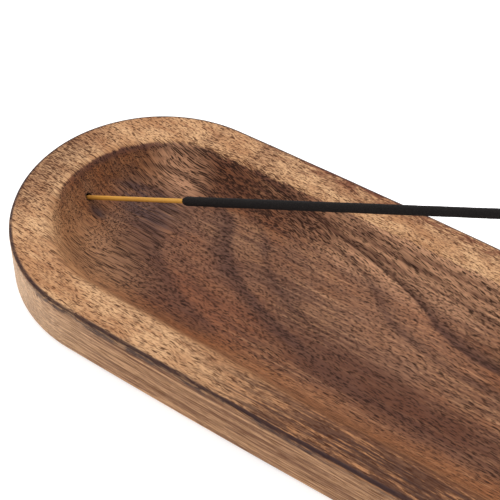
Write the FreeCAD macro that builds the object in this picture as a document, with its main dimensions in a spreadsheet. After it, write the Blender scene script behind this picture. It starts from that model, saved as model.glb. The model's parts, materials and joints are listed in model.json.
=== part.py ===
"""Incense burner: a carved wooden ash tray with an incense stick standing in its slanting hole.

The tray is one piece of wood, an oval with almost straight sides. Its hollow catches the ash, and
its hole is drilled at a slant into the hollow's end wall. The stick is a bamboo core dipped in
incense paste. It slides out of the hole along its own axis.

Frame: millimetres, +Z up, origin under the middle of the tray's flat foot, +X along the tray away
from the hole, so that the stick leans towards +X.
"""

import FreeCAD, Part
import Sketcher

import math
import os

PARTS = "parts"

# Driving dimensions: alias, value, meaning. Angles are in degrees, lengths in millimetres.
DIMENSIONS = [
    ("tray_length", 290.0, "end to end"),
    ("tray_width", 88.0, "at the middle, where the bowed sides are widest"),
    ("tray_height", 18.0, "foot to rim"),
    ("end_radius", 42.0, "plan radius of each rounded end"),
    ("side_draft", 1.2, "lean of the outer wall, narrower at the foot"),
    ("foot_round", 2.0, "rounding under the outer wall"),
    ("edge_round", 1.0, "rounding on the rim's outer edge"),
    ("rim_width", 11.5, "flat rim, from the outer edge to the hollow's edge"),
    ("hollow_depth", 9.5, "rim to floor"),
    ("wall_draft", 42.0, "lean of the hollow's wall from upright"),
    ("shoulder_round", 3.5, "rounding where the rim turns down into the hollow"),
    ("cove_round", 14.0, "rounding where the hollow's wall meets its floor"),
    ("mouth_inset", 17.0, "tray's end to the middle of the hole's mouth"),
    ("mouth_height", 12.04, "foot to the middle of the hole's mouth"),
    ("stick_angle", 28.0, "the stick's slope above level"),
    ("stick_depth", 9.0, "how deep the stick stands in the hole, along the slope from the mouth"),
    ("lean_gap", 0.04, "clearance kept where the stick leans on the mouth and on the wall deep inside"),
    ("hole_diameter", 2.0, "drilled hole"),
    ("hole_depth", 9.1, "full diameter, along the slope from the mouth"),
    ("drill_point", 59.0, "half angle of the conical end that the drill leaves"),
    ("hole_runout", 4.0, "how far the cut goes on past the mouth into open air"),
    ("core_diameter", 1.4, "bamboo core"),
    ("core_chamfer", 0.15, "broken edge at both ends of the core"),
    ("stick_length", 230.0, "whole incense stick"),
    ("bare_length", 48.0, "bamboo left bare at the stick's foot"),
    ("coat_diameter", 2.6, "incense paste over the core"),
    ("coat_start", 0.9, "length over which the paste thins out at its start"),
    ("coat_lip", 0.2, "thickness of the paste where it starts"),
    ("tip_cover", 0.8, "paste beyond the core's end at the tip"),
]

SIDE_RADIUS = (
    "((dims.tray_length / 2 - dims.end_radius)^2 + (dims.tray_width / 2)^2 - dims.end_radius^2)"
    " / (dims.tray_width - 2 * dims.end_radius)"
)
# The stick is loose in its hole, so it lies low at the mouth and high at its foot.
DROP = "((dims.hole_diameter - dims.core_diameter) / 2 - dims.lean_gap)"
HOLE_ANGLE = f"dims.stick_angle * 1 deg + asin(2 * {DROP} / dims.stick_depth)"
TOLERANCE = 1e-3


def make_sheet(doc):
    """The spreadsheet of driving dimensions. Each value's cell has its name as alias."""
    sheet = doc.addObject("Spreadsheet::Sheet", "dims")
    for row, (alias, value, meaning) in enumerate(DIMENSIONS, start=1):
        sheet.set(f"A{row}", alias)
        sheet.set(f"B{row}", str(value))
        sheet.set(f"C{row}", meaning)
        sheet.setAlias(f"B{row}", alias)
    doc.recompute()
    return sheet


def make_body(doc, name):
    body = doc.addObject("PartDesign::Body", name)
    body.Label = name
    return body


def origin_plane(body, role):
    return next(f for f in body.Origin.OriginFeatures if f.Role == role)


def add_sketch(body, name, role):
    sketch = body.newObject("Sketcher::SketchObject", name)
    sketch.AttachmentSupport = [(origin_plane(body, role), "")]
    sketch.MapMode = "FlatFace"
    return sketch


def bind(sketch, constraint, name, expression):
    """Adds a dimension to a sketch and ties it to the sheet."""
    index = sketch.addConstraint(constraint)
    sketch.renameConstraint(index, name)
    sketch.setExpression(f"Constraints.{name}", expression)


def oval_sketch(body, name, sheet, inset):
    """Four tangent arcs at rim height: two round ends and two slightly bowed sides.

    inset is the alias of the distance from the tray's own outline in to this one, or None.
    """
    end_x = sheet.tray_length / 2 - sheet.end_radius
    half_width = sheet.tray_width / 2
    side_radius = (end_x**2 + half_width**2 - sheet.end_radius**2) / (2 * (half_width - sheet.end_radius))
    side_y = side_radius - half_width
    turn = math.atan2(end_x, side_y)
    step = sheet.get(inset) if inset else 0.0
    end_r = sheet.end_radius - step
    side_r = side_radius - step
    inside = f" - dims.{inset}" if inset else ""
    quarter = math.pi / 2
    up = FreeCAD.Vector(0, 0, 1)

    def arc(x, y, radius, first, last):
        return Part.ArcOfCircle(Part.Circle(FreeCAD.Vector(x, y, 0), up, radius), first, last)

    sketch = add_sketch(body, name, "XY_Plane")
    sketch.setExpression("AttachmentOffset.Base.z", "dims.tray_height * 1 mm")
    left = sketch.addGeometry(arc(-end_x, 0, end_r, quarter + turn, 3 * quarter - turn), False)
    front = sketch.addGeometry(arc(0, side_y, side_r, 3 * quarter - turn, 3 * quarter + turn), False)
    right = sketch.addGeometry(arc(end_x, 0, end_r, turn - quarter, quarter - turn), False)
    back = sketch.addGeometry(arc(0, -side_y, side_r, quarter - turn, quarter + turn), False)

    start, end, centre = 1, 2, 3
    for one, other in ((left, front), (front, right), (right, back), (back, left)):
        sketch.addConstraint(Sketcher.Constraint("Tangent", one, end, other, start))
    x_axis = -1
    for index, sign, side in ((left, "-1", "left"), (right, "1", "right")):
        sketch.addConstraint(Sketcher.Constraint("PointOnObject", index, centre, x_axis))
        place = Sketcher.Constraint("DistanceX", x_axis, 1, index, centre, float(sign) * end_x)
        bind(sketch, place, f"{side}_centre", f"{sign} * (dims.tray_length / 2 - dims.end_radius)")
        round_end = Sketcher.Constraint("Radius", index, end_r)
        bind(sketch, round_end, f"{side}_radius", f"dims.end_radius{inside}")
    for index, side in ((front, "front"), (back, "back")):
        bowed = Sketcher.Constraint("Radius", index, side_r)
        bind(sketch, bowed, f"{side}_radius", f"{SIDE_RADIUS}{inside}")
    return sketch


def edges_at(feature, sheet, height, outer):
    """Names of the edges of a feature that lie at one height, on the outer or the inner outline."""
    reach_x = sheet.tray_length / 2 - sheet.rim_width / 2
    reach_y = sheet.tray_width / 2 - sheet.rim_width / 2
    found = []
    for number, edge in enumerate(feature.Shape.Edges, start=1):
        box = edge.BoundBox
        level = abs(box.ZMin - height) < TOLERANCE and abs(box.ZMax - height) < TOLERANCE
        far_x = max(abs(box.XMin), abs(box.XMax))
        far_y = max(abs(box.YMin), abs(box.YMax))
        if level and outer == (far_x > reach_x or far_y > reach_y):
            found.append(f"Edge{number}")
    return found


def round_off(body, doc, base, name, edges, alias):
    fillet = body.newObject("PartDesign::Fillet", name)
    fillet.Base = (base, edges)
    fillet.setExpression("Radius", f"dims.{alias} * 1 mm")
    doc.recompute()
    return fillet


def polygon(sketch, points):
    """A closed outline of straight lines joined end to end."""
    corners = [FreeCAD.Vector(x, y, 0) for x, y in points]
    lines = []
    for here, there in zip(corners, corners[1:] + corners[:1]):
        lines.append(sketch.addGeometry(Part.LineSegment(here, there), False))
    for line, following in zip(lines, lines[1:] + lines[:1]):
        sketch.addConstraint(Sketcher.Constraint("Coincident", line, 2, following, 1))
    return lines


def pin_corner(sketch, line, name, across, along):
    """Ties the first corner of a line to the sheet: across from the turning axis, along it."""
    start, origin = 1, -1
    point = sketch.Geometry[line].StartPoint
    for kind, value, expression in (("X", point.x, across), ("Y", point.y, along)):
        constraint = Sketcher.Constraint(f"Distance{kind}", origin, 1, line, start, value)
        bind(sketch, constraint, f"{name}_{kind.lower()}", expression)


def turned_profile(body, name, corners):
    """A sketch in the XZ plane whose closed profile turns about its own upright axis.

    corners maps a name to (x value, y value, x expression, y expression).
    """
    sketch = add_sketch(body, name, "XZ_Plane")
    lines = polygon(sketch, [(x, y) for x, y, _, _ in corners.values()])
    for line, (label, (_, _, across, along)) in zip(lines, corners.items()):
        pin_corner(sketch, line, label, across, along)
    return sketch


def make_tray(doc, sheet):
    """The carved tray: drafted oval block, rounded edges, the hollow and the slanting hole."""
    body = make_body(doc, "tray")

    block = body.newObject("PartDesign::Pad", "block")
    block.Profile = oval_sketch(body, "outline", sheet, None)
    block.setExpression("Length", "dims.tray_height * 1 mm")
    block.setExpression("TaperAngle", "-1 * dims.side_draft * 1 deg")
    block.Reversed = True
    doc.recompute()

    hollow = body.newObject("PartDesign::Pocket", "hollow")
    hollow.Profile = oval_sketch(body, "hollow_outline", sheet, "rim_width")
    hollow.setExpression("Length", "dims.hollow_depth * 1 mm")
    hollow.setExpression("TaperAngle", "-1 * dims.wall_draft * 1 deg")
    doc.recompute()

    floor = sheet.tray_height - sheet.hollow_depth
    step = round_off(body, doc, hollow, "cove", edges_at(hollow, sheet, floor, False), "cove_round")
    rim = edges_at(step, sheet, sheet.tray_height, False)
    step = round_off(body, doc, step, "shoulder", rim, "shoulder_round")
    lip = edges_at(step, sheet, sheet.tray_height, True)
    step = round_off(body, doc, step, "lip", lip, "edge_round")
    foot = edges_at(step, sheet, 0.0, True)
    step = round_off(body, doc, step, "foot", foot, "foot_round")

    drill(body, doc, sheet)
    return body


def drill(body, doc, sheet):
    """The slanting hole, turned about its own axis, with the drill's conical end."""
    radius = sheet.hole_diameter / 2
    point = sheet.hole_depth + radius / math.tan(math.radians(sheet.drill_point))
    half = "dims.hole_diameter / 2"
    end = "-1 * dims.hole_depth"
    tip = f"-1 * (dims.hole_depth + {half} / tan(dims.drill_point * 1 deg))"
    profile = turned_profile(
        body,
        "hole_profile",
        {
            "tip": (0.0, -point, "0", tip),
            "wall": (radius, -sheet.hole_depth, half, end),
            "edge": (radius, sheet.hole_runout, half, "dims.hole_runout"),
            "axis": (0.0, sheet.hole_runout, "0", "dims.hole_runout"),
        },
    )
    square = FreeCAD.Rotation(FreeCAD.Vector(0, 0, 1), sheet.stick_angle - 90)
    profile.AttachmentOffset = FreeCAD.Placement(FreeCAD.Vector(0, 0, 0), square)
    profile.setExpression("AttachmentOffset.Base.x", "(dims.mouth_inset - dims.tray_length / 2) * 1 mm")
    profile.setExpression("AttachmentOffset.Base.y", "dims.mouth_height * 1 mm")
    profile.setExpression("AttachmentOffset.Rotation.Angle", f"{HOLE_ANGLE} - 90 deg")
    hole = body.newObject("PartDesign::Groove", "stick_hole")
    hole.Profile = profile
    hole.ReferenceAxis = (profile, ["V_Axis"])
    hole.Angle = 360
    doc.recompute()


def stand_in_hole(body, sheet):
    """Places a body that was turned about its own Z axis, foot at the origin, into the hole."""
    upright = FreeCAD.Rotation(FreeCAD.Vector(0, 1, 0), 90 - sheet.stick_angle)
    body.Placement = FreeCAD.Placement(FreeCAD.Vector(0, 0, 0), upright)
    cosine = "cos(dims.stick_angle * 1 deg)"
    sine = "sin(dims.stick_angle * 1 deg)"
    mouth_x = "dims.mouth_inset - dims.tray_length / 2"
    foot_x = f"{mouth_x} - dims.stick_depth * {cosine} + {DROP} * {sine}"
    foot_z = f"dims.mouth_height - dims.stick_depth * {sine} - {DROP} * {cosine}"
    body.setExpression("Placement.Base.x", f"({foot_x}) * 1 mm")
    body.setExpression("Placement.Base.z", f"({foot_z}) * 1 mm")
    body.setExpression("Placement.Rotation.Angle", "(90 - dims.stick_angle) * 1 deg")


def turn(body, doc, profile, name):
    """Turns a profile a full round about the body's own Z axis."""
    turned = body.newObject("PartDesign::Revolution", name)
    turned.Profile = profile
    turned.ReferenceAxis = (profile, ["V_Axis"])
    turned.Angle = 360
    doc.recompute()


def make_core(doc, sheet):
    """The bamboo core, a round splint with its end edges broken."""
    body = make_body(doc, "bamboo_core")
    radius = sheet.core_diameter / 2
    cut = sheet.core_chamfer
    top = sheet.stick_length - sheet.tip_cover
    r_text = "dims.core_diameter / 2"
    top_text = "(dims.stick_length - dims.tip_cover)"
    small = f"{r_text} - dims.core_chamfer"
    profile = turned_profile(
        body,
        "splint",
        {
            "foot_axis": (0.0, 0.0, "0", "0"),
            "foot_face": (radius - cut, 0.0, small, "0"),
            "foot_edge": (radius, cut, r_text, "dims.core_chamfer"),
            "top_edge": (radius, top - cut, r_text, f"{top_text} - dims.core_chamfer"),
            "top_face": (radius - cut, top, small, top_text),
            "top_axis": (0.0, top, "0", top_text),
        },
    )
    turn(body, doc, profile, "splint_turned")
    stand_in_hole(body, sheet)
    return body


def make_coat(doc, sheet):
    """The incense paste: a sleeve on the core that thins out at its start and closes over the tip."""
    body = make_body(doc, "incense_coat")
    inner = sheet.core_diameter / 2
    outer = sheet.coat_diameter / 2
    cut = sheet.core_chamfer
    begin = sheet.bare_length
    full = begin + sheet.coat_start
    core_top = sheet.stick_length - sheet.tip_cover
    inner_text = "dims.core_diameter / 2"
    outer_text = "dims.coat_diameter / 2"
    core_text = "(dims.stick_length - dims.tip_cover)"
    profile = turned_profile(
        body,
        "sleeve",
        {
            "start_inner": (inner, begin, inner_text, "dims.bare_length"),
            "start_outer": (inner + sheet.coat_lip, begin, f"{inner_text} + dims.coat_lip", "dims.bare_length"),
            "full_outer": (outer, full, outer_text, "dims.bare_length + dims.coat_start"),
            "tip_shoulder": (outer, core_top, outer_text, core_text),
            "tip_face": (inner, sheet.stick_length, inner_text, "dims.stick_length"),
            "tip_axis": (0.0, sheet.stick_length, "0", "dims.stick_length"),
            "core_axis": (0.0, core_top, "0", core_text),
            "core_face": (inner - cut, core_top, f"{inner_text} - dims.core_chamfer", core_text),
            "core_edge": (inner, core_top - cut, inner_text, f"{core_text} - dims.core_chamfer"),
        },
    )
    turn(body, doc, profile, "sleeve_turned")
    stand_in_hole(body, sheet)
    return body


def check(doc, bodies):
    """Stops with a message if any object failed or any sub-part isn't one sound solid."""
    for item in doc.Objects:
        if {"Invalid", "Error"} & set(item.State):
            raise RuntimeError(f"{item.Name} failed: {item.State}")
    for body in bodies:
        shape = body.Shape
        if shape.isNull() or not shape.isValid() or len(shape.Solids) != 1:
            raise RuntimeError(f"{body.Label} isn't one valid solid")


def main():
    doc = FreeCAD.newDocument("incense_burner")
    sheet = make_sheet(doc)
    bodies = [make_tray(doc, sheet), make_core(doc, sheet), make_coat(doc, sheet)]
    doc.recompute()
    check(doc, bodies)
    os.makedirs(PARTS, exist_ok=True)
    for body in bodies:
        body.Shape.exportStep(os.path.join(PARTS, f"{body.Label}.step"))
        box = body.Shape.optimalBoundingBox(True, False)
        size = f"{box.XLength:.2f} x {box.YLength:.2f} x {box.ZLength:.2f} mm"
        print(f"{body.Label}: {size}, {body.Shape.Volume / 1000:.3f} cm3")


main()
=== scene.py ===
"""Looks of the incense burner: a carved, oiled wooden tray and its stick of black incense."""

import json
import math

import bpy
from mathutils import Matrix, Vector, noise


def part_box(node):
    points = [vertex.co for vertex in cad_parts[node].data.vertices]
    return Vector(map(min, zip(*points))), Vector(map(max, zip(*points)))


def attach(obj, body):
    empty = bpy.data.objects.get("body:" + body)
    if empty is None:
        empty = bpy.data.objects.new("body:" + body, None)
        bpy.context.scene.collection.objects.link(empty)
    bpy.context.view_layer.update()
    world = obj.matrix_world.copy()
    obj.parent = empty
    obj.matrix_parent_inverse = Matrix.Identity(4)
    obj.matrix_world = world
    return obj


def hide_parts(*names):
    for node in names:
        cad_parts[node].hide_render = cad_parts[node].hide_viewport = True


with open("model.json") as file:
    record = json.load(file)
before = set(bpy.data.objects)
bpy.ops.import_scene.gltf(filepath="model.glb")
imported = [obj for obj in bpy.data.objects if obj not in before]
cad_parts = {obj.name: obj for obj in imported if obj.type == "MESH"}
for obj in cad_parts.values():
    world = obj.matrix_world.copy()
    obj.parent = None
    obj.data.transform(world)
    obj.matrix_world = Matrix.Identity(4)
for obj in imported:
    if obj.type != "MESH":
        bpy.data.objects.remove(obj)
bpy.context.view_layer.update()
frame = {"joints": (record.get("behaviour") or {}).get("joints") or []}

MM = 0.001

# The tray's driving dimensions, in millimetres, as in the CAD model, but with a softer shoulder.
TRAY_LENGTH = 290.0
TRAY_WIDTH = 88.0
TRAY_HEIGHT = 18.0
END_RADIUS = 42.0
SIDE_DRAFT = math.radians(1.2)
FOOT_ROUND = 2.0
EDGE_ROUND = 1.0
RIM_WIDTH = 11.5
HOLLOW_DEPTH = 9.5
WALL_SLOPE = math.radians(48.0)
SHOULDER_ROUND = 4.2
COVE_ROUND = 14.0
MOUTH = Vector((-128.0, 0.0, 12.04))
HOLE_RADIUS = 1.0
HOLE_DEPTH = 9.1
HOLE_ANGLE = math.radians(31.31)
DRILL_POINT = math.radians(118.0)

# The stick's, along its own axis from its foot.
CORE_RADIUS = 0.7
CORE_LENGTH = 229.2
COAT_RADIUS = 1.3
COAT_START = 48.0
COAT_END = 230.0
STICK_AXIS = Vector(frame["joints"][0]["axis"]).normalized()

# How finely the meshes are divided, and how far in the underside's grid begins.
END_STEPS = 60
SIDE_STEPS = 156
GRID_CELLS = 22
UNDERSIDE_INSET = 18.0
DRILL_SIDES = 28
CORE_SIDES = 20
COAT_SIDES = 30
COAT_STEPS = 470

# Unevenness as (height, size, seed) in millimetres: the gouge's in the hollow, sanding's on
# the rest of the tray, and the lumps and grains of the rolled paste.
CARVED = ((0.42, 26.0, 3.7), (0.16, 9.0, 8.1))
SANDED = ((0.16, 42.0, 1.3), (0.05, 12.0, 5.9))
ROLLED = ((0.045, 4.0, 6.3), (0.035, 0.9, 1.9), (0.025, 0.45, 4.4))


# ---------------------------------------------------------------- mesh building


def make_object(name, verts, faces, smooth_angle):
    """A mesh object from millimetre coordinates, smooth except at edges sharper than the angle."""
    mesh = bpy.data.meshes.new(name)
    mesh.from_pydata([v * MM for v in verts], [], faces)
    mesh.validate()
    mesh.shade_smooth()
    mesh.set_sharp_from_angle(angle=smooth_angle)
    obj = bpy.data.objects.new(name, mesh)
    bpy.context.scene.collection.objects.link(obj)
    return obj


def arc_points(centre, radius, first, last, count):
    """Points on an arc with their inward normals, the arc's last point left out."""
    points = []
    for k in range(count):
        angle = first + (last - first) * k / count
        outward = Vector((math.cos(angle), math.sin(angle), 0.0))
        points.append((Vector((centre[0], centre[1], 0.0)) + radius * outward, -outward))
    return points


def half_outline():
    """The tray's outline on the -Y side, from left tip to right tip, with inward normals."""
    end_x = TRAY_LENGTH / 2 - END_RADIUS
    half_width = TRAY_WIDTH / 2
    side_radius = (end_x**2 + half_width**2 - END_RADIUS**2) / (2 * (half_width - END_RADIUS))
    side_y = side_radius - half_width
    turn = math.atan2(end_x, side_y)
    down = 1.5 * math.pi
    left = arc_points((-end_x, 0), END_RADIUS, math.pi, down - turn, END_STEPS)
    side = arc_points((0, side_y), side_radius, down - turn, down + turn, SIDE_STEPS)
    right = arc_points((end_x, 0), END_RADIUS, down + turn, 2 * math.pi, END_STEPS)
    tip = (Vector((TRAY_LENGTH / 2, 0.0, 0.0)), Vector((-1.0, 0.0, 0.0)))
    return left + side + right + [tip]


def fillet(centre, radius, first, last, count):
    """Profile points (inset, height) on a rounding, both ends included. Angles are from +inset."""
    points = []
    for k in range(count + 1):
        angle = first + (last - first) * k / count
        points.append((centre[0] + radius * math.cos(angle), centre[1] + radius * math.sin(angle)))
    return points


def straight(start, end, count):
    """Profile points between two points, both left out."""
    return [
        (start[0] + (end[0] - start[0]) * k / count, start[1] + (end[1] - start[1]) * k / count)
        for k in range(1, count)
    ]


def tray_profile():
    """The section as (inset from the outer edge, height), from the floor out to the underside."""
    floor = TRAY_HEIGHT - HOLLOW_DEPTH
    reach = RIM_WIDTH + HOLLOW_DEPTH / math.tan(WALL_SLOPE)
    lean = TRAY_HEIGHT * math.tan(SIDE_DRAFT)
    quarter = math.pi / 2
    tan_half = math.tan(WALL_SLOPE / 2)
    cove_centre = (reach + COVE_ROUND * tan_half, floor + COVE_ROUND)
    shoulder_centre = (RIM_WIDTH - SHOULDER_ROUND * tan_half, TRAY_HEIGHT - SHOULDER_ROUND)
    lip_centre = (EDGE_ROUND, TRAY_HEIGHT - EDGE_ROUND)
    foot_centre = (lean + FOOT_ROUND, FOOT_ROUND)
    cove = fillet(cove_centre, COVE_ROUND, -quarter, -quarter - WALL_SLOPE, 16)
    shoulder = fillet(shoulder_centre, SHOULDER_ROUND, quarter - WALL_SLOPE, quarter, 10)
    lip = fillet(lip_centre, EDGE_ROUND, quarter, math.pi + SIDE_DRAFT, 7)
    foot = fillet(foot_centre, FOOT_ROUND, math.pi + SIDE_DRAFT, 1.5 * math.pi, 8)
    last = (UNDERSIDE_INSET, 0.0)
    return (
        cove
        + straight(cove[-1], shoulder[0], 6)
        + shoulder
        + straight(shoulder[-1], lip[0], 10)
        + lip
        + straight(lip[-1], foot[0], 14)
        + foot
        + straight(foot[-1], last, 5)
        + [last]
    )


def smooth(value, low, high):
    """0 below low, 1 above high, eased between."""
    t = min(max((value - low) / (high - low), 0.0), 1.0)
    return t * t * (3.0 - 2.0 * t)


def wave(point, size, seed):
    """Smooth noise from -1 to 1, with features about size millimetres across."""
    return noise.noise(Vector((point.x / size + seed, point.y / size - seed, point.z / size)))


def uneven(point, waves):
    """The sum of some waves, each a (height, size, seed)."""
    return sum(height * wave(point, size, seed) for height, size, seed in waves)


def path_lengths(profile):
    """How far along the section each point is from the rim's outer edge: inwards +, down -."""
    lengths = [0.0]
    for (d1, z1), (d2, z2) in zip(profile, profile[1:]):
        lengths.append(lengths[-1] - math.hypot(d2 - d1, z2 - z1))
    edge = max(range(len(profile)), key=lambda k: profile[k][1] - profile[k][0])
    return [length - lengths[edge] for length in lengths]


def close_ring(verts, paths, start, last, upward):
    """Adds rows of points between a ring's two mirrored halves, and returns the faces on them."""
    ring_size = 2 * last
    rows = []
    for k in range(1, last):
        near = start + k
        far = start + ring_size - k
        row = [near]
        for step in range(1, GRID_CELLS):
            verts.append(verts[near].lerp(verts[far], step / GRID_CELLS))
            gap = (verts[far] - verts[near]).length
            inner = min(step, GRID_CELLS - step) / GRID_CELLS * gap
            paths.append(paths[near] + (inner if upward else -inner))
            row.append(len(verts) - 1)
        row.append(far)
        rows.append(row)
    faces = []
    for here, there in zip(rows, rows[1:]):
        for c in range(GRID_CELLS):
            faces.append((here[c], there[c], there[c + 1], here[c + 1]))
    for tip, row, swap in ((start, rows[0], False), (start + last, rows[-1], True)):
        for c in range(GRID_CELLS):
            faces.append((tip, row[c + 1], row[c]) if swap else (tip, row[c], row[c + 1]))
    return faces if upward else [tuple(reversed(face)) for face in faces]


def tray_mesh():
    """The carved tray without its hole, and each point's distance from the rim's outer edge."""
    half = half_outline()
    last = len(half) - 1
    ring_size = 2 * last
    profile = tray_profile()
    verts = []
    paths = []
    for (inset, height), path in zip(profile, path_lengths(profile)):
        for k in range(ring_size):
            index = k if k <= last else ring_size - k
            mirror = 1.0 if k <= last else -1.0
            base, inward = half[index]
            place = base + inward * inset
            verts.append(Vector((place.x, place.y * mirror, height)))
            paths.append(path)
    faces = []
    for ring in range(len(profile) - 1):
        for k in range(ring_size):
            a = ring * ring_size + k
            b = ring * ring_size + (k + 1) % ring_size
            faces.append((a, a + ring_size, b + ring_size, b))
    foot_start = (len(profile) - 1) * ring_size
    faces += close_ring(verts, paths, 0, last, True)
    faces += close_ring(verts, paths, foot_start, last, False)
    return verts, faces, paths


def hand_work(obj):
    """Moves the tray's points a little, as carving, sanding and knocks leave them."""
    mesh = obj.data
    path = mesh.attributes["path"].data
    normals = [v.normal.copy() for v in mesh.vertices]
    for v, normal in zip(mesh.vertices, normals):
        p = v.co / MM
        inside = smooth(path[v.index].value, RIM_WIDTH - 3.0, RIM_WIDTH + 3.0)
        top = smooth(p.z, 0.8, 4.0)
        off_hole = smooth((p - MOUTH).length, 2.5, 9.0)
        surface = inside * uneven(p, CARVED) + (1.0 - inside) * uneven(p, SANDED)
        lift = surface * top * off_hole
        # Small chips out of the near side's top edge.
        edge = 1.0 - smooth(abs(path[v.index].value), 0.6, 3.0)
        near_side = smooth(-p.y, 36.0, 40.0) * smooth(p.x, -122.0, -112.0)
        chip = max(0.0, wave(p, 5.0, 2.9) - 0.05) + 0.5 * max(0.0, wave(p, 11.0, 7.4))
        lift -= 0.55 * edge * near_side * chip
        v.co = (p + normal * lift) * MM


def turned(profile, sides, wobble=None):
    """Closed surface turned about Z, from (radius, height) pairs that start and end on Z."""
    verts = [Vector((0.0, 0.0, profile[0][1]))]
    for radius, height in profile[1:-1]:
        for k in range(sides):
            angle = 2 * math.pi * k / sides
            place = Vector((radius * math.cos(angle), radius * math.sin(angle), height))
            verts.append(wobble(place) if wobble else place)
    verts.append(Vector((0.0, 0.0, profile[-1][1])))
    faces = []
    rings = len(profile) - 2
    for k in range(sides):
        after = (k + 1) % sides
        faces.append((0, 1 + after, 1 + k))
        for ring in range(rings - 1):
            a = 1 + ring * sides + k
            b = 1 + ring * sides + after
            faces.append((a, b, b + sides, a + sides))
        top = 1 + (rings - 1) * sides
        faces.append((len(verts) - 1, top + k, top + after))
    return verts, faces


def along(direction, foot):
    """The matrix that stands a Z-turned piece along a direction, with its origin at foot."""
    across = Vector((0.0, 1.0, 0.0))
    side = across.cross(direction)
    rotation = Matrix((side, across, direction)).transposed().to_4x4()
    return Matrix.Translation(foot) @ rotation


def drill_hole(tray):
    """Cuts the stick's slanting hole, with an eased mouth and the drill's conical end."""
    cone = HOLE_RADIUS / math.tan(DRILL_POINT / 2)
    profile = [
        (0.0, -HOLE_DEPTH - cone),
        (HOLE_RADIUS, -HOLE_DEPTH),
        (HOLE_RADIUS, -6.0),
        (HOLE_RADIUS, -3.0),
        (HOLE_RADIUS + 0.02, -0.3),
        (HOLE_RADIUS + 0.08, 0.4),
        (HOLE_RADIUS + 0.12, 3.0),
        (0.0, 3.0),
    ]
    verts, faces = turned(profile, DRILL_SIDES)
    direction = Vector((math.cos(HOLE_ANGLE), 0.0, math.sin(HOLE_ANGLE)))
    stand = along(direction, MOUTH)
    cutter = make_object("drill", [stand @ v for v in verts], faces, math.radians(40))
    cut = tray.modifiers.new("hole", "BOOLEAN")
    cut.operation = "DIFFERENCE"
    cut.solver = "EXACT"
    cut.object = cutter
    depsgraph = bpy.context.evaluated_depsgraph_get()
    mesh = bpy.data.meshes.new_from_object(tray.evaluated_get(depsgraph))
    tray.modifiers.clear()
    tray.data = mesh
    bpy.data.objects.remove(cutter)
    mesh.shade_smooth()
    mesh.set_sharp_from_angle(angle=math.radians(50))
    # The bore's own points are marked, and count as part of the hollow.
    bored = mesh.attributes.new("bored", "FLOAT", "POINT")
    path = mesh.attributes["path"]
    for v in mesh.vertices:
        p = v.co / MM - MOUTH
        off_axis = (p - direction * p.dot(direction)).length
        if off_axis < HOLE_RADIUS + 0.2 and p.length < HOLE_DEPTH + 2 * cone:
            bored.data[v.index].value = 1.0
            path.data[v.index].value = RIM_WIDTH + 3.0


def build_tray():
    verts, faces, paths = tray_mesh()
    tray = make_object("carved_tray", verts, faces, math.radians(60))
    attribute = tray.data.attributes.new("path", "FLOAT", "POINT")
    attribute.data.foreach_set("value", paths)
    hand_work(tray)
    drill_hole(tray)
    return tray


def stick_matrix():
    """Where the stick's foot stands, from the middle of its CAD core."""
    low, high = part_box("bamboo_core")
    foot = (low + high) / 2 / MM - STICK_AXIS * CORE_LENGTH / 2
    return along(STICK_AXIS, foot)


def build_core():
    """The split bamboo: not quite round, with shallow flats that twist and fibres that wander."""

    def splint(p):
        angle = math.atan2(p.y, p.x)
        flats = 0.035 * math.cos(4 * angle + 0.02 * p.z)
        turn = Vector((3 * math.cos(angle), 3 * math.sin(angle), p.z / 6))
        scale = 0.95 + flats + 0.03 * wave(turn, 1.0, 2.2)
        return Vector((p.x * scale, p.y * scale, p.z))

    # Close rings where the bamboo is bare, and a few inside the paste.
    heights = [0.12 + 0.5 * k for k in range(104)]
    heights += [56.0, 80.0, 120.0, 160.0, 200.0, CORE_LENGTH - 0.15]
    cut = CORE_RADIUS - 0.15
    profile = [(0.0, 0.0), (cut, 0.0)]
    profile += [(CORE_RADIUS, h) for h in heights]
    profile += [(cut, CORE_LENGTH), (0.0, CORE_LENGTH)]
    verts, faces = turned(profile, CORE_SIDES, splint)
    stand = stick_matrix()
    return make_object("split_bamboo", [stand @ v for v in verts], faces, math.radians(50))


def build_coat():
    """The incense paste: rolled on, so uneven and grainy, with a rounded, ragged start."""
    inner = CORE_RADIUS + 0.02

    def grain(p):
        radius = math.hypot(p.x, p.y)
        if radius < inner + 0.05:
            return p
        angle = math.atan2(p.y, p.x)
        roll = Vector((2.2 * math.cos(angle), 2.2 * math.sin(angle), p.z))
        start = 1.0 - smooth(p.z, COAT_START + 0.5, COAT_START + 2.0)
        ragged = start * (0.35 * math.cos(angle - 0.6) + 0.35 * wave(roll, 1.2, 7.7))
        scale = 1.0 + uneven(roll, ROLLED) / radius
        return Vector((p.x * scale, p.y * scale, p.z + ragged))

    body_start = COAT_START + 0.6
    body_length = COAT_END - 0.5 - body_start
    profile = [
        (0.0, CORE_LENGTH),
        (inner, CORE_LENGTH),
        (inner, CORE_LENGTH - 60.0),
        (inner, COAT_START + 20.0),
        (inner, COAT_START + 1.0),
        (inner, COAT_START),
        (inner + 0.22, COAT_START - 0.02),
        (inner + 0.42, COAT_START + 0.08),
        (COAT_RADIUS - 0.08, COAT_START + 0.3),
    ]
    for k in range(COAT_STEPS + 1):
        profile.append((COAT_RADIUS, body_start + body_length * k / COAT_STEPS))
    profile += [
        (COAT_RADIUS - 0.12, COAT_END - 0.2),
        (COAT_RADIUS - 0.5, COAT_END),
        (0.0, COAT_END),
    ]
    verts, faces = turned(profile, COAT_SIDES, grain)
    stand = stick_matrix()
    outward = [tuple(reversed(face)) for face in faces]
    return make_object("rolled_incense", [stand @ v for v in verts], outward, math.radians(60))


# ---------------------------------------------------------------- materials


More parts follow.
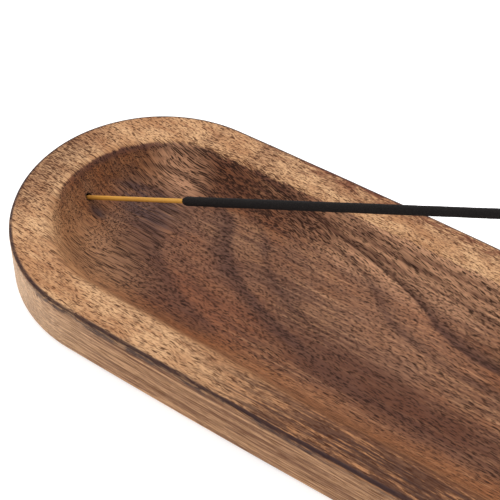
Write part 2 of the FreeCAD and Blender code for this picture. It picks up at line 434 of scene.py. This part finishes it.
class Graph:
    """Builds one material's nodes. Each method returns an output socket."""

    def __init__(self, name):
        self.material = bpy.data.materials.new(name)
        self.material.use_nodes = True
        self.tree = self.material.node_tree
        self.tree.nodes.clear()
        output = self.tree.nodes.new("ShaderNodeOutputMaterial")
        self.shader = self.tree.nodes.new("ShaderNodeBsdfPrincipled")
        self.join(self.shader.outputs[0], output.inputs[0])

    def join(self, source, socket):
        """Links a socket, or sets its value if source is a plain number or tuple."""
        if isinstance(source, bpy.types.NodeSocket):
            self.tree.links.new(source, socket)
        elif source is not None:
            socket.default_value = source

    def math(self, operation, a, b=None, c=None, clamp=False):
        node = self.tree.nodes.new("ShaderNodeMath")
        node.operation = operation
        node.use_clamp = clamp
        for source, socket in zip((a, b, c), node.inputs):
            self.join(source, socket)
        return node.outputs[0]

    def add(self, a, b):
        return self.math("ADD", a, b)

    def sub(self, a, b):
        return self.math("SUBTRACT", a, b)

    def mul(self, first, *others):
        product = first
        for factor in others:
            product = self.math("MULTIPLY", product, factor)
        return product

    def greatest(self, first, *others):
        largest = first
        for other in others:
            largest = self.math("MAXIMUM", largest, other)
        return largest

    def cubed(self, value):
        return self.math("POWER", self.math("ABSOLUTE", value), 3.0)

    def signed(self, value, amount):
        """Noise about 0.5 turned into an offset of plus or minus about half of amount."""
        return self.math("MULTIPLY_ADD", value, amount, -0.5 * amount)

    def millimetres(self):
        """Object coordinates in millimetres, as a vector."""
        coordinates = self.tree.nodes.new("ShaderNodeTexCoord")
        scale = self.tree.nodes.new("ShaderNodeVectorMath")
        scale.operation = "SCALE"
        self.join(coordinates.outputs["Object"], scale.inputs[0])
        scale.inputs["Scale"].default_value = 1.0 / MM
        return scale.outputs[0]

    def split(self, vector):
        parts = self.tree.nodes.new("ShaderNodeSeparateXYZ")
        self.join(vector, parts.inputs[0])
        return tuple(parts.outputs)

    def attribute(self, name):
        node = self.tree.nodes.new("ShaderNodeAttribute")
        node.attribute_name = name
        return node.outputs["Fac"]

    def stretch(self, place, sizes, shift=(0.0, 0.0, 0.0)):
        """A vector from three coordinates, each divided by a feature size in millimetres."""
        node = self.tree.nodes.new("ShaderNodeCombineXYZ")
        for value, size, offset, socket in zip(place, sizes, shift, node.inputs):
            self.join(self.math("MULTIPLY_ADD", value, 1.0 / size, offset), socket)
        return node.outputs[0]

    def noise(self, vector, scale, detail, roughness):
        node = self.tree.nodes.new("ShaderNodeTexNoise")
        self.join(vector, node.inputs["Vector"])
        node.inputs["Scale"].default_value = scale
        node.inputs["Detail"].default_value = detail
        node.inputs["Roughness"].default_value = roughness
        return node.outputs["Fac"]

    def grain(self, place, sizes, shift=(0.0, 0.0, 0.0), detail=1.0, roughness=0.5):
        """Noise whose features have the given sizes along three coordinates."""
        return self.noise(self.stretch(place, sizes, shift), 1.0, detail, roughness)

    def cells(self, vector, randomness):
        """The distance to a Voronoi cell's point, and a number from 0 to 1 that the cell keeps."""
        node = self.tree.nodes.new("ShaderNodeTexVoronoi")
        self.join(vector, node.inputs["Vector"])
        node.inputs["Scale"].default_value = 1.0
        node.inputs["Randomness"].default_value = randomness
        parts = self.tree.nodes.new("ShaderNodeSeparateColor")
        self.join(node.outputs["Color"], parts.inputs[0])
        return node.outputs["Distance"], parts.outputs[0]

    def fade(self, value, low, high, to_low=0.0, to_high=1.0):
        """Smooth step from to_low at low to to_high at high. Low and high may be sockets."""
        node = self.tree.nodes.new("ShaderNodeMapRange")
        node.interpolation_type = "SMOOTHSTEP"
        for source, name in ((value, "Value"), (low, "From Min"), (high, "From Max")):
            self.join(source, node.inputs[name])
        self.join(to_low, node.inputs["To Min"])
        self.join(to_high, node.inputs["To Max"])
        return node.outputs["Result"]

    def between(self, mask, at_none, at_full):
        """A number that goes from at_none to at_full as a mask goes from 0 to 1."""
        return self.fade(mask, 0.0, 1.0, at_none, at_full)

    def ramp(self, value, stops):
        """A grey value for a value from 0 to 1, from (place, grey) stops."""
        node = self.tree.nodes.new("ShaderNodeValToRGB")
        elements = node.color_ramp.elements
        while len(elements) < len(stops):
            elements.new(0.5)
        for element, (place, grey) in zip(elements, stops):
            element.position = place
            element.color = (grey, grey, grey, 1.0)
        self.join(value, node.inputs[0])
        return node.outputs[0]

    def mix(self, factor, a, b):
        node = self.tree.nodes.new("ShaderNodeMix")
        node.data_type = "RGBA"
        node.clamp_factor = True
        self.join(factor, node.inputs[0])
        self.join(a, node.inputs[6])
        self.join(b, node.inputs[7])
        return node.outputs[2]

    def lay(self, base, colour, mask, *strengths):
        """A base colour with another laid over it where the mask is, at some strengths."""
        return self.mix(self.mul(mask, *strengths), base, colour)

    def bump(self, height, distance, strength):
        node = self.tree.nodes.new("ShaderNodeBump")
        node.inputs["Distance"].default_value = distance
        node.inputs["Strength"].default_value = strength
        self.join(height, node.inputs["Height"])
        return node.outputs[0]

    def finish(self, colour, roughness, normal, specular):
        self.join(colour, self.shader.inputs["Base Color"])
        self.join(roughness, self.shader.inputs["Roughness"])
        self.join(normal, self.shader.inputs["Normal"])
        self.shader.inputs["Specular IOR Level"].default_value = specular
        return self.material


def srgb(red, green, blue):
    """A colour as it looks on a screen, 0 to 255, turned into the linear light of shaders."""

    def linear(channel):
        c = channel / 255.0
        return c / 12.92 if c <= 0.04045 else ((c + 0.055) / 1.055) ** 2.4

    return (linear(red), linear(green), linear(blue), 1.0)


# Growth layers as (height through the wood in millimetres, darkness).
VEINS = (
    (-30.0, 0.1),
    (-21.0, 0.5),
    (-20.5, 0.1),
    (-17.0, 0.15),
    (-16.2, 0.6),
    (-15.8, 0.1),
    (-12.0, 0.6),
    (-11.6, 0.72),
    (-11.1, 0.1),
    (-10.2, 0.3),
    (-10.0, 0.0),
    (-9.1, 0.1),
    (-8.4, 0.75),
    (-8.0, 0.85),
    (-7.8, 0.0),
    (-6.6, 0.1),
    (-6.25, 0.75),
    (-6.1, 0.1),
    (-2.6, 0.0),
    (-1.6, 0.05),
    (-1.4, 0.85),
    (-1.1, 0.35),
    (-0.5, 0.0),
    (0.6, 0.0),
    (0.85, 1.0),
    (1.15, 0.85),
    (2.0, 0.4),
    (3.4, 0.1),
    (6.0, 0.5),
    (6.3, 0.05),
    (20.0, 0.2),
)
LAYER_LOW = VEINS[0][0]
LAYER_SPAN = VEINS[-1][0] - LAYER_LOW

# The growth layers fall away from this point of the plan, and the fibres dive more steeply.
LAYER_PEAK = (20.0, 35.0)
LAYER_NARROWING = 2.17
LAYER_DIP = 0.15
FIBRE_DIP = 0.13
# How far each millimetre across the fibres shifts the marks along them.
FIBRE_SHEAR = 5.0

# The hollow's floor in soft patches: centre, half size, lean in degrees, strength and colour.
FLOOR_PATCHES = (
    ((-20.0, -12.0), (42.0, 8.0), -4.0, 0.8, srgb(84, 42, 20)),
    ((-84.0, -8.0), (22.0, 14.0), -20.0, 0.4, srgb(120, 68, 42)),
    ((-30.0, 12.0), (26.0, 12.0), -20.0, 0.4, srgb(156, 112, 84)),
    ((-20.0, -28.0), (90.0, 8.0), 0.0, 0.55, srgb(148, 95, 60)),
    ((-114.0, -19.0), (16.0, 13.0), -30.0, 0.7, srgb(166, 118, 80)),
)


class Wood(Graph):
    """Solid wood, its fibres along X and diving towards +X, as the carved surface cuts it."""

    def __init__(self):
        super().__init__("oiled_wood")
        self.place = self.split(self.millimetres())
        self.x, self.y, self.z = self.place
        self.path = self.attribute("path")
        self.set_fibres()
        self.set_marks()
        self.set_veins()
        self.set_zones()
        self.set_pores()

    def set_fibres(self):
        """Coordinates along and across the fibres, with slow bends and curly wood's ripples."""
        x = self.x
        bend = self.signed(self.grain(self.place, (70.0, 30.0, 30.0)), 5.0)
        curl = self.grain(self.place, (6.0, 8.0, 12.0), (2.0, 9.0, 5.0))
        calm_middle = self.fade(x, -55.0, -25.0, 1.0, 0.4)
        calm_end = self.fade(x, -120.0, -98.0, 0.35, 1.0)
        ripple = self.mul(self.sub(curl, 0.5), self.mul(calm_middle, calm_end))
        self.across = self.add(self.y, bend)
        # Sheared, so that the marks of neighbouring fibres never line up across the grain.
        self.length = self.add(x, self.mul(self.across, FIBRE_SHEAR))
        dx = self.cubed(self.sub(x, LAYER_PEAK[0]))
        dy = self.cubed(self.mul(self.sub(self.across, LAYER_PEAK[1]), LAYER_NARROWING))
        self.reach = self.math("POWER", self.add(dx, dy), 1.0 / 3.0)
        fall = self.sub(self.mul(self.reach, FIBRE_DIP), self.mul(x, FIBRE_DIP))
        # Low in the end with the hole they dive along the cove and level out on the floor,
        # so that the cut runs along them.
        down = self.fade(x, -125.0, -115.0, 2.4, 0.0)
        level = self.fade(x, -114.0, -101.0, -2.6, 0.0)
        low = self.fade(self.z, 12.5, 17.0, 1.0, 0.0)
        fall = self.add(fall, self.mul(self.add(down, level), low))
        rise = self.add(self.sub(self.z, fall), self.mul(ripple, 0.5))
        self.fibre = (self.length, self.add(self.across, self.mul(ripple, 1.5)), rise)

    def set_marks(self):
        """Noise: streaks and long lines along the fibres, and clouds."""
        level = (self.length, self.across, self.z)
        self.fibres = self.grain(self.fibre, (9.0, 0.42, 0.3), (3.0, 3.0, 3.0), 1.0, 0.6)
        self.streaks = self.grain(self.fibre, (26.0, 1.1, 1.6), detail=4.0, roughness=0.7)
        self.long_lines = self.grain(level, (34.0, 0.9, 3.0), (6.0, 1.0, 3.0), 4.0, 0.7)
        self.blotches = self.grain(self.place, (16.0, 7.0, 9.0), (1.7, 8.2, 0.4), 3.0, 0.6)
        self.warmth = self.grain(self.place, (30.0, 12.0, 18.0), (5.0, 2.0, 8.0), 3.0, 0.6)
        broken = self.grain(self.fibre, (13.0, 1.7, 2.4), (3.0, 7.0, 1.0), 5.0, 0.75)
        self.ragged = self.mul(self.add(broken, self.long_lines), 0.5)

    def set_veins(self):
        """Dark growth layers, weaker by the near side, by the end and on part of the floor."""
        bend = self.grain(self.place, (60.0, 26.0, 26.0), (7.3, 1.1, 4.9))
        frays = self.grain(self.fibre, (7.0, 0.8, 0.8), (4.4, 0.7, 2.6), 2.0, 0.6)
        bent = self.add(self.z, self.signed(bend, 1.2))
        layer = self.sub(bent, self.mul(self.reach, LAYER_DIP))
        layer = self.add(layer, self.signed(frays, 0.4))
        offset = -LAYER_LOW / LAYER_SPAN
        layer = self.math("MULTIPLY_ADD", layer, 1.0 / LAYER_SPAN, offset, clamp=True)
        stops = [((height - LAYER_LOW) / LAYER_SPAN, grey) for height, grey in VEINS]
        veins = self.ramp(layer, stops)
        near_side = self.fade(self.y, -27.0, -17.0, 0.15, 1.0)
        end = self.fade(self.x, -126.0, -112.0, 0.1, 1.0)
        blended = self.mul(self.fade(self.x, -60.0, -35.0), self.fade(self.y, 2.0, -4.0))
        self.veins = self.mul(veins, near_side, end, self.between(blended, 1.0, 0.35))

    def spot(self, centre, size, lean=0.0, soft=0.6):
        """A soft oval patch of the plan with a torn edge, its long axis leaning by degrees."""
        angle = math.radians(lean)
        px = self.sub(self.x, centre[0])
        py = self.sub(self.y, centre[1])
        cos, sin = math.cos(angle), math.sin(angle)
        u = self.add(self.mul(px, cos / size[0]), self.mul(py, sin / size[0]))
        v = self.sub(self.mul(py, cos / size[1]), self.mul(px, sin / size[1]))
        far = self.math("SQRT", self.add(self.mul(u, u), self.mul(v, v)))
        torn = self.add(far, self.signed(self.streaks, 1.1))
        return self.fade(torn, 1.0 - soft, 1.0 + soft, 1.0, 0.0)

    def set_zones(self):
        """Masks: the browned hollow, soft only on its near side, the outer side, and stains."""
        jagged = self.grain(self.fibre, (3.0, 0.9, 0.9), detail=3.0, roughness=0.75)
        wobble = self.mul(self.sub(jagged, 0.5), self.fade(self.y, 10.0, 24.0, 1.8, 4.0))
        self.inwards = self.add(self.path, wobble)
        towards_near = self.sub(self.y, self.fade(self.x, -112.0, -132.0, 0.0, 6.0))
        self.soft_side = self.fade(towards_near, -26.0, -8.0, 1.0, 0.0)
        starts = self.between(self.soft_side, 10.7, 6.0)
        ends = self.between(self.soft_side, 11.5, 19.0)
        self.hollow = self.fade(self.inwards, starts, ends)
        self.side = self.fade(self.path, -1.6, -0.6, 1.0, 0.0)
        self.stain = self.spot((-88.0, 27.5), (26.0, 5.5), -4.0, 0.35)
        self.end_dark = self.spot((-143.0, 2.0), (8.0, 30.0), 0.0, 0.7)

    def set_pores(self):
        """Open vessels, which the surface cuts into dots where they dive, or into lines."""
        stained = self.greatest(self.mul(self.stain, 0.16), self.mul(self.end_dark, 0.14))
        crowd = self.greatest(self.mul(self.veins, 0.10), stained)

        def vessels(sizes, shift, narrow, wide):
            distance, chance = self.cells(self.stretch(self.fibre, sizes, shift), 0.8)
            radius = self.add(self.between(chance, narrow, wide), crowd)
            return self.fade(self.sub(distance, radius), -0.055, 0.05, 1.0, 0.0)

        wide = vessels((10.0, 0.5, 0.58), (0.0, 0.0, 0.0), 0.16, 0.34)
        fine = vessels((8.0, 0.32, 0.34), (4.5, 2.5, 1.5), 0.22, 0.44)
        wide = self.mul(wide, self.between(self.hollow, 1.0, 0.45))
        fine = self.mul(fine, self.between(self.hollow, 0.6, 1.0))
        self.pore = self.greatest(wide, fine)

    def golden(self):
        """The rim: golden sapwood, darker at its end and by its far edge."""
        cloudy = self.fade(self.blotches, 0.3, 0.7)
        colour = self.mix(cloudy, srgb(176, 126, 84), srgb(212, 167, 122))
        colour = self.lay(colour, srgb(142, 90, 54), self.fade(self.streaks, 0.46, 0.72, 0.0, 0.7))
        colour = self.lay(colour, srgb(122, 76, 50), self.veins, 0.4)
        far_edge = self.mul(self.fade(self.y, 30.0, 38.0), self.fade(self.path, 8.0, 0.5))
        far_edge = self.mul(far_edge, self.fade(self.x, -110.0, -70.0))
        streaked = self.fade(self.streaks, 0.4, 0.55, 0.15, 1.0)
        colour = self.lay(colour, srgb(112, 62, 38), far_edge, streaked)
        colour = self.lay(colour, srgb(122, 83, 57), self.end_dark, 0.5)
        return self.heartwood(colour)

    def heartwood(self, colour):
        """The near rim away from the hole: brown, with dark and light streaks along it."""
        here = self.mul(self.fade(self.x, -85.0, -20.0), self.fade(self.y, -24.0, -34.0))
        colour = self.lay(colour, srgb(138, 88, 54), here, 0.8)
        dark = self.fade(self.add(self.ragged, self.mul(here, 0.1)), 0.5, 0.61)
        colour = self.lay(colour, srgb(66, 35, 20), dark, here, 0.85)
        light = self.fade(self.ragged, 0.48, 0.40, 0.0, 0.7)
        colour = self.lay(colour, srgb(178, 124, 80), here, light)
        lines = self.fade(self.long_lines, 0.5, 0.6, 0.0, 0.8)
        return self.lay(colour, srgb(54, 29, 20), here, lines)

    def browned(self):
        """The hollow: brown wood with streaks, patches, veins and a stain on its far wall, with
        painted shade under the rim's inner edge.
        """
        streaks, lines = self.streaks, self.long_lines
        warm = self.fade(self.warmth, 0.56, 0.7, 0.0, 0.7)
        cloudy = self.fade(self.blotches, 0.42, 0.8, 0.0, 0.7)
        colour = self.mix(self.fade(self.warmth, 0.38, 0.62), srgb(122, 84, 61), srgb(130, 80, 46))
        colour = self.lay(colour, srgb(142, 80, 42), warm)
        colour = self.lay(colour, srgb(160, 114, 78), cloudy)
        colour = self.lay(colour, srgb(90, 51, 33), self.fade(streaks, 0.48, 0.76, 0.0, 0.8))
        colour = self.lay(colour, srgb(84, 49, 31), self.fade(lines, 0.44, 0.62, 0.0, 0.75))
        pale = self.fade(lines, 0.48, 0.34, 0.0, 0.7)
        pale = self.mul(pale, self.fade(self.x, -80.0, -50.0, 0.3, 1.0))
        colour = self.lay(colour, srgb(176, 128, 92), pale)
        for centre, size, lean, strength, patch in FLOOR_PATCHES:
            colour = self.lay(colour, patch, self.spot(centre, size, lean), strength)

        smooth_patch = self.spot((-112.5, 24.5), (8.0, 7.0))
        colour = self.lay(colour, srgb(192, 142, 108), smooth_patch, 0.9)
        far_side = self.spot((-32.0, 29.0), (40.0, 8.0))
        colour = self.lay(colour, srgb(204, 154, 118), far_side, 0.85)
        far_lines = self.mul(far_side, self.fade(lines, 0.47, 0.6, 0.0, 0.65))
        colour = self.lay(colour, srgb(98, 62, 50), far_lines)

        # Blue-grey marks round the hole.
        grey = self.spot((-113.5, 8.5), (9.0, 5.5), -25.0)
        colour = self.lay(colour, srgb(62, 46, 48), grey, self.fade(lines, 0.4, 0.55, 0.15, 0.9))
        left_arc = self.spot((-121.5, 12.3), (5.6, 0.8), 31.0)
        right_arc = self.spot((-111.5, 14.2), (6.0, 0.8), -14.0)
        colour = self.lay(colour, srgb(66, 46, 46), self.greatest(left_arc, right_arc), 0.65)
        colour = self.lay(colour, srgb(70, 40, 31), self.veins, 0.88)
        colour = self.lay(colour, srgb(60, 42, 40), self.spot((-123.8, -1.6), (2.4, 1.5)), 0.85)

        # The stain; the upper walls under the rim darkened, partly the stained wood's own colour
        # and partly painted shade where they turn away from the light; and painted shade along the
        # crease at the end's edge.
        colour = self.lay(colour, srgb(112, 70, 54), self.stain, 0.4)
        upper_stain_and_shade = self.mul(self.fade(self.path, 14.5, 10.5), self.between(self.soft_side, 0.6, 0.0))
        upper_stain_and_shade = self.mul(upper_stain_and_shade, self.fade(self.x, -60.0, -90.0))
        colour = self.lay(colour, srgb(102, 62, 44), upper_stain_and_shade, self.between(smooth_patch, 1.0, 0.2))
        # Painted shade: a dark line along the rim's inner edge on the far part of the end.
        crease_shade = self.fade(self.inwards, 10.8, 11.6)
        crease_shade = self.mul(crease_shade, self.fade(self.inwards, 12.0, 14.0, 1.0, 0.0))
        far_part = self.fade(self.y, -4.0, 10.0, 0.0, 0.55)
        end = self.fade(self.x, -111.0, -120.0)
        return self.lay(colour, srgb(66, 40, 38), crease_shade, far_part, end)

    def outer_side(self):
        """The side wall: plain lines along it, with a painted highlight that makes it lighter by
        the end with the hole.
        """
        lines = self.grain(self.place, (34.0, 2.0, 0.7), (6.0, 1.0, 3.0), 5.0, 0.75)
        colour = self.mix(self.fade(lines, 0.4, 0.58), srgb(202, 155, 112), srgb(112, 71, 43))
        # Painted highlight: near-white laid over the side wall towards the end with the hole, the
        # end that faces the light.
        colour = self.lay(colour, srgb(230, 190, 150), self.fade(self.x, -134.0, -80.0, 0.75, 0.0))
        return self.lay(colour, srgb(134, 92, 66), self.fade(self.blotches, 0.4, 0.75, 0.0, 0.35))

    def edge_marks_and_bore_shade(self, colour):
        """A darker line along the rim's outer edge, a dark smear along the near side's edge, and
        painted shade inside the bore.
        """
        edge_noise = self.grain(self.place, (9.0, 4.0, 4.0), (2.0, 6.0, 1.0), 5.0, 0.75)
        # A darker line along the rim's outer edge.
        line = self.mul(self.fade(self.path, -0.8, -0.3), self.fade(self.path, 0.3, 1.0, 1.0, 0.0))
        line = self.mul(line, self.fade(edge_noise, 0.25, 0.55, 0.5, 0.95))
        near = self.mul(self.fade(self.y, -30.0, -38.0), self.fade(self.x, -126.0, -108.0))
        centre = self.add(self.path, self.signed(edge_noise, 5.5))
        smear = self.mul(self.fade(centre, -3.2, -1.4), self.fade(centre, -0.6, 1.2, 1.0, 0.0))
        smear = self.mul(smear, near, self.fade(self.ragged, 0.42, 0.54, 0.1, 1.0), 0.9)
        colour = self.lay(colour, srgb(52, 34, 34), self.greatest(line, smear))
        # Painted shade: the bore's walls darkened nearly to black, standing in for the deep hole's
        # shade.
        return self.lay(colour, srgb(38, 24, 18), self.attribute("bored"), 0.9)

    def make(self):
        colour = self.mix(self.hollow, self.golden(), self.browned())
        colour = self.mix(self.side, colour, self.outer_side())
        colour = self.lay(colour, srgb(84, 48, 32), self.fade(self.fibres, 0.46, 0.7, 0.0, 0.5))
        in_pore = self.mix(self.hollow, srgb(68, 36, 21), srgb(38, 21, 14))
        colour = self.lay(colour, in_pore, self.pore, self.between(self.side, 0.9, 0.35))
        colour = self.edge_marks_and_bore_shade(colour)
        roughness = self.add(self.between(self.pore, 0.5, 0.8), self.signed(self.streaks, 0.12))
        height = self.sub(self.mul(self.fibres, 0.3), self.pore)
        return self.finish(colour, roughness, self.bump(height, 0.07 * MM, 0.9), 0.15)


def bamboo_material():
    g = Graph("split_bamboo")
    x, y, z = g.split(g.millimetres())
    # Along the stick, and two directions across it.
    slope = math.atan2(STICK_AXIS.z, STICK_AXIS.x)
    cos, sin = math.cos(slope), math.sin(slope)
    length = g.add(g.mul(x, cos), g.mul(z, sin))
    place = (length, y, g.sub(g.mul(z, cos), g.mul(x, sin)))
    fibres = g.grain(place, (6.0, 0.11, 0.11), detail=3.0, roughness=0.6)
    patches = g.grain(place, (9.0, 1.5, 1.5), (4.0, 1.0, 2.0), 3.0, 0.6)
    colour = g.mix(patches, srgb(180, 122, 40), srgb(210, 155, 64))
    colour = g.lay(colour, srgb(122, 76, 26), g.fade(fibres, 0.45, 0.75, 0.0, 0.6))
    # Painted shade: darker near the mouth, where the stick goes into the hole.
    mouth = MOUTH.x * cos + MOUTH.z * sin
    mouth_shade = g.fade(length, mouth - 2.0, mouth + 7.0, 0.65, 0.0)
    colour = g.lay(colour, srgb(112, 62, 24), mouth_shade)
    roughness = g.fade(fibres, 0.2, 0.8, 0.5, 0.72)
    return g.finish(colour, roughness, g.bump(fibres, 0.03 * MM, 0.8), 0.3)


def incense_material():
    g = Graph("incense_paste")
    place = g.millimetres()
    grains = g.noise(place, 5.0, 4.0, 0.65)
    specks = g.noise(place, 2.2, 3.0, 0.6)
    colour = g.mix(g.fade(grains, 0.35, 0.7), srgb(17, 15, 15), srgb(36, 32, 31))
    colour = g.lay(colour, srgb(58, 50, 46), g.fade(specks, 0.6, 0.75, 0.0, 0.4))
    roughness = g.fade(grains, 0.3, 0.7, 0.95, 0.78)
    return g.finish(colour, roughness, g.bump(grains, 0.08 * MM, 1.0), 0.1)


# ---------------------------------------------------------------- pieces

tray = build_tray()
core = build_core()
coat = build_coat()
for piece, node, body, slot, material in (
    (tray, "tray", "tray", "carved_wood", Wood().make()),
    (core, "bamboo_core", "stick", "bamboo", bamboo_material()),
    (coat, "incense_coat", "stick", "incense_paste", incense_material()),
):
    piece.data.materials.clear()
    piece.data.materials.append(material)
    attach(piece, body)
    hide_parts(node)


# ---------------------------------------------------------------- stage, light and camera

WHITE = (1.0, 1.0, 1.0, 1.0)
# The floor's half width, and its drop, so that it never shares a plane with the underside.
FLOOR_REACH = 6.0
FLOOR_DROP = 0.0002
# Soft lights: name, place, aim and size in metres, and watts.
LIGHTS = (
    ("window", (-0.7, 0.75, 1.1), (-0.05, 0.0, 0.0), (1.1, 0.8), 9.0),
    ("overhead", (0.1, 0.1, 1.5), (0.0, 0.0, 0.0), (1.4, 1.0), 7.0),
)
# Above the near side and to the right, looking at the end with the hole.
CAMERA_EYE = Vector((145.7, -317.5, 435.6))
CAMERA_AIM = Vector((-84.54, 18.09, 0.0))
CAMERA_LENS = 149.3


def place_object(name, data, place, aim):
    """An object that stands at a place and looks at its aim."""
    obj = bpy.data.objects.new(name, data)
    bpy.context.scene.collection.objects.link(obj)
    obj.location = place
    obj.rotation_euler = (Vector(aim) - Vector(place)).to_track_quat("-Z", "Y").to_euler()
    return obj


def build_floor():
    mesh = bpy.data.meshes.new("floor")
    r = FLOOR_REACH
    mesh.from_pydata([(-r, -r, 0.0), (r, -r, 0.0), (r, r, 0.0), (-r, r, 0.0)], [], [(0, 1, 2, 3)])
    floor = bpy.data.objects.new("floor", mesh)
    bpy.context.scene.collection.objects.link(floor)
    floor.location.z = -FLOOR_DROP
    g = Graph("floor_white")
    g.finish((0.6, 0.6, 0.6, 1.0), 0.9, None, 0.0)
    g.shader.inputs["Emission Color"].default_value = WHITE
    g.shader.inputs["Emission Strength"].default_value = 0.65
    mesh.materials.append(g.material)


def build_lights():
    for name, place, aim, size, watts in LIGHTS:
        light = bpy.data.lights.new(name, "AREA")
        light.shape = "RECTANGLE"
        light.size, light.size_y = size
        light.energy = watts
        place_object(name, light, place, aim)
    world = bpy.data.worlds.new("studio")
    bpy.context.scene.world = world
    world.use_nodes = True
    background = world.node_tree.nodes["Background"]
    background.inputs["Color"].default_value = WHITE
    background.inputs["Strength"].default_value = 0.8


def build_camera():
    camera = bpy.data.cameras.new("camera")
    camera.sensor_width = 36.0
    camera.lens = CAMERA_LENS
    camera.clip_start = 0.01
    obj = place_object("camera", camera, CAMERA_EYE * MM, CAMERA_AIM * MM)
    bpy.context.scene.camera = obj


build_floor()
build_lights()
build_camera()
bpy.context.scene.view_settings.view_transform = "Standard"
